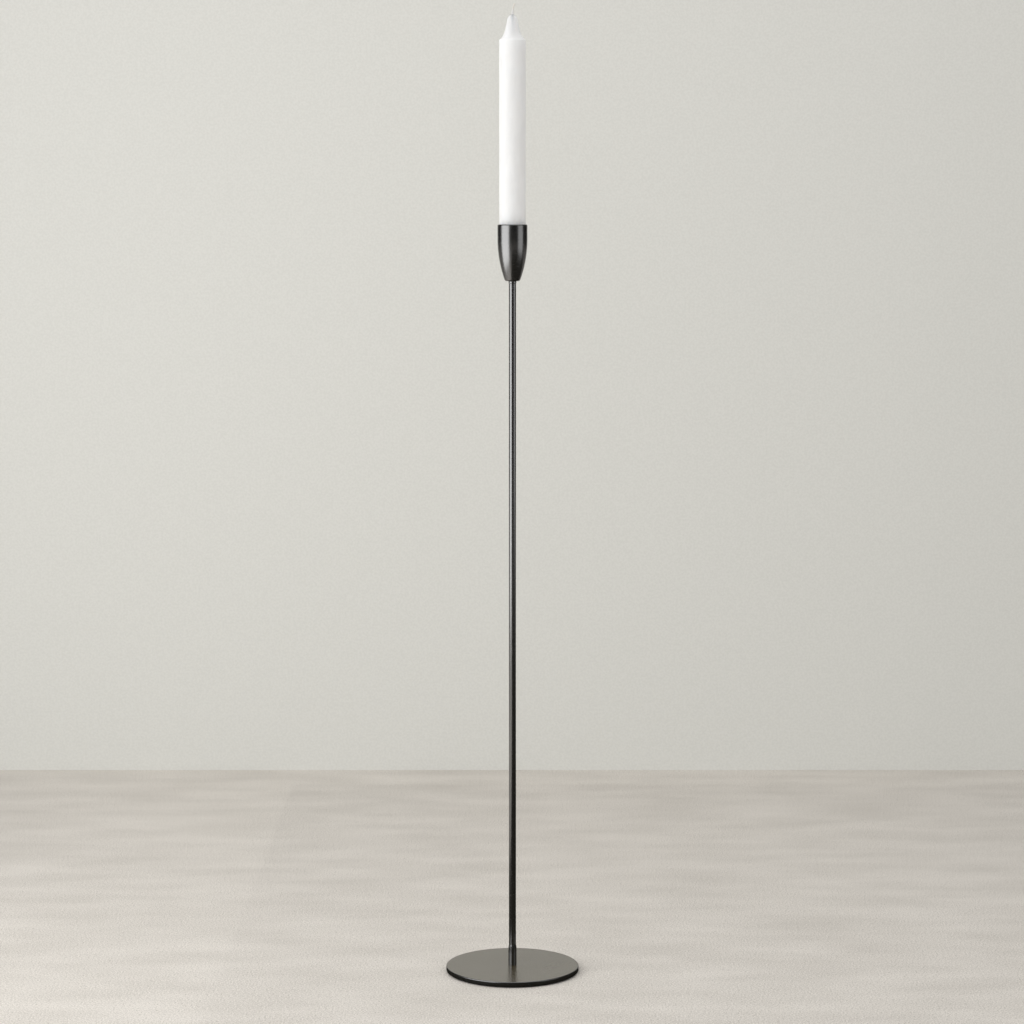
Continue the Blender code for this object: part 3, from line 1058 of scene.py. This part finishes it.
def floor_finish():
    finish = Finish("pale_speckled_floor", {"IOR": 1.45})
    drift = finish.clouds(45 * MM, detail=7, stretch=(2.5, 1, 1))
    grit = finish.clouds(1.4 * MM, detail=3)
    specks = finish.step(finish.clouds(2 * MM, detail=1), 0.64, 0.74)
    pale = finish.mix(finish.step(0.2 * drift + 0.8 * grit, 0.34, 0.66), FLOOR_SHADE, FLOOR_PALE)
    finish.feed(finish.shader, {
        "Base Color": finish.mix(0.6 * specks, pale, FLOOR_SPECK),
        "Roughness": 0.75 + 0.2 * (grit - 0.5),
        "Normal": finish.bump(grit, 0.1 * MM),
    })
    return finish


def sheet(name, place, size, turned, finish):
    """A flat sheet of the set, which is not part of the object."""
    bpy.ops.object.select_all(action="DESELECT")
    bpy.ops.mesh.primitive_plane_add(size=1, location=place, rotation=turned)
    bpy.context.object.scale = (*size, 1)
    made = begin(name)
    bpy.ops.object.mode_set(mode="OBJECT")
    finish.wear(made)
    return made


LYING = (0, 0, 0)
STANDING = (math.pi / 2, 0, 0)
sheet("floor", (0, 0, TABLE), FLOOR_SIZE, LYING, floor_finish())

# %% Wall
WALL_BACK = 0.8855  # behind the stand's axis
WALL_SIZE = (1.28, 1.9)
WALL_PALE = (0.74, 0.738, 0.7, 1)
WALL_SHADE = (0.7, 0.698, 0.66, 1)


def wall_finish():
    finish = Finish("pale_wall", {"Specular IOR Level": 0.2, "Roughness": 0.9})
    tooth = finish.clouds(2.5 * MM, detail=3)
    strokes = finish.clouds(12 * MM, detail=5, stretch=(1, 1, 1.8))
    finish.feed(finish.shader, {
        "Base Color": finish.mix(finish.step(tooth, 0.3, 0.7), WALL_SHADE, WALL_PALE),
        "Normal": finish.bump(strokes + 0.25 * tooth, 0.2 * MM),
    })
    behind = finish.node("ShaderNodeNewGeometry", {}, {}, "Backfacing")
    clear = finish.node("ShaderNodeBsdfTransparent", {}, {})
    solid = Wire(finish, finish.shader.outputs[0])
    sides = {"Fac": behind, "Shader": solid, "Shader_001": clear}
    either = finish.node("ShaderNodeMixShader", {}, sides)
    finish.feed(finish.tree.nodes["Material Output"], {"Surface": either})
    return finish


sheet("wall", (0, WALL_BACK, WALL_SIZE[1] / 2), WALL_SIZE, STANDING, wall_finish())

# %% Card
CARD_FROM = (-0.25, -3.0)  # its corner to the left and towards the camera
CARD_TO = (3.0, 0.8)
CARD_LIFT = 1 * MM
CARD_BLACK = (0.04, 0.036, 0.028, 1)


def black_card():
    finish = Finish("black_card", {"Specular IOR Level": 0.0, "Roughness": 1.0})
    finish.feed(finish.shader, {"Base Color": CARD_BLACK})
    place = [(near + far) / 2 for near, far in zip(CARD_FROM, CARD_TO)]
    size = [far - near for near, far in zip(CARD_FROM, CARD_TO)]
    card = sheet("black_card", (*place, TABLE + CARD_LIFT), size, LYING, finish)
    card.visible_camera = False
    card.visible_diffuse = False
    card.visible_shadow = False
    card.visible_transmission = False


black_card()

# %% [markdown]
# ## Light
# Satin black shows nothing but the lamps, so the lamps are placed by what they do to the cup. A
# wide softbox on the left gives the broad bright streak, a weaker one on the right gives the
# second streak, and the dark between them is the unlit room around the camera. Their lower edges
# are where the two streaks fade out on the way down the rod. A third lamp overhead lights the
# floor and the candle, and an upright side cannot mirror it. A lamp's strength is given as its
# radiance, because that is what a reflection shows, and its power follows.

# %% Lamps
def softbox(name, place, aim, size, radiance):
    """A soft lamp that faces a point."""
    bpy.ops.object.light_add(type="AREA", location=place)
    lamp = bpy.context.object
    lamp.name = name
    lamp.rotation_euler = (Vector(aim) - Vector(place)).to_track_quat("-Z", "Y").to_euler()
    lamp.data.shape = "RECTANGLE"
    lamp.data.size, lamp.data.size_y = size
    lamp.data.energy = radiance * math.pi * size[0] * size[1]
    lamp.visible_camera = False


def beside(azimuth, distance, height):
    """A place about the stand: azimuth 0 is towards the camera, and left is negative."""
    turned = math.radians(azimuth)
    return (math.sin(turned) * distance, -math.cos(turned) * distance, height)


softbox(
    "left_softbox",
    place=beside(azimuth=-59.5, distance=1.05, height=0.64),
    aim=(0, 0, 0.64),
    size=(1.28, 1.0),
    radiance=2.78,
)
softbox(
    "right_softbox",
    place=beside(azimuth=65.5, distance=1.3, height=0.8),
    aim=(0, 0, 0.8),
    size=(0.97, 0.94),
    radiance=1.02,
)
softbox(
    "overhead_softbox",
    place=(0, -0.1, 2.4),
    aim=(0, -0.1, 0),
    size=(2.2, 2.2),
    radiance=1.2,
)

# %% World
ROOM_SEEN = (0.66, 0.65, 0.61, 1)
ROOM_MIRRORED = (0.012, 0.012, 0.012, 1)
ROOM_LIGHT = (0.48, 0.48, 0.48, 1)


def room():
    """The room beyond the set: pale to look at, dim in reflections."""
    world = bpy.data.worlds.new("room")
    world.use_nodes = True
    bpy.context.scene.world = world
    nodes = Nodes(world.node_tree)
    mirrored = nodes.node("ShaderNodeLightPath", {}, {}, "Is Glossy Ray")
    seen = nodes.node("ShaderNodeLightPath", {}, {}, "Is Camera Ray")
    light = nodes.mix(mirrored, ROOM_LIGHT, ROOM_MIRRORED)
    background = nodes.tree.nodes["Background"]
    nodes.feed(background, {"Color": nodes.mix(seen, light, ROOM_SEEN)})


room()

# %% [markdown]
# ## Camera
# A long lens a little over two metres away, at the height of the cup and tipped down a few
# degrees: the foot shows as a shallow ellipse and the upright lines stay upright.

# %% Camera
CAMERA_PLACE = (-0.0004, -2.3465, 0.635)
CAMERA_TILT = 5.856  # degrees below level
CAMERA_LENS = 98.54  # millimetres
CAMERA_SENSOR = 36  # millimetres across

bpy.ops.object.camera_add(
    location=CAMERA_PLACE, rotation=(math.radians(90 - CAMERA_TILT), 0, 0)
)
camera = bpy.context.object
camera.name = "camera"
camera.data.lens = CAMERA_LENS
camera.data.sensor_width = CAMERA_SENSOR
bpy.context.scene.camera = camera
bpy.context.scene.view_settings.view_transform = "Standard"
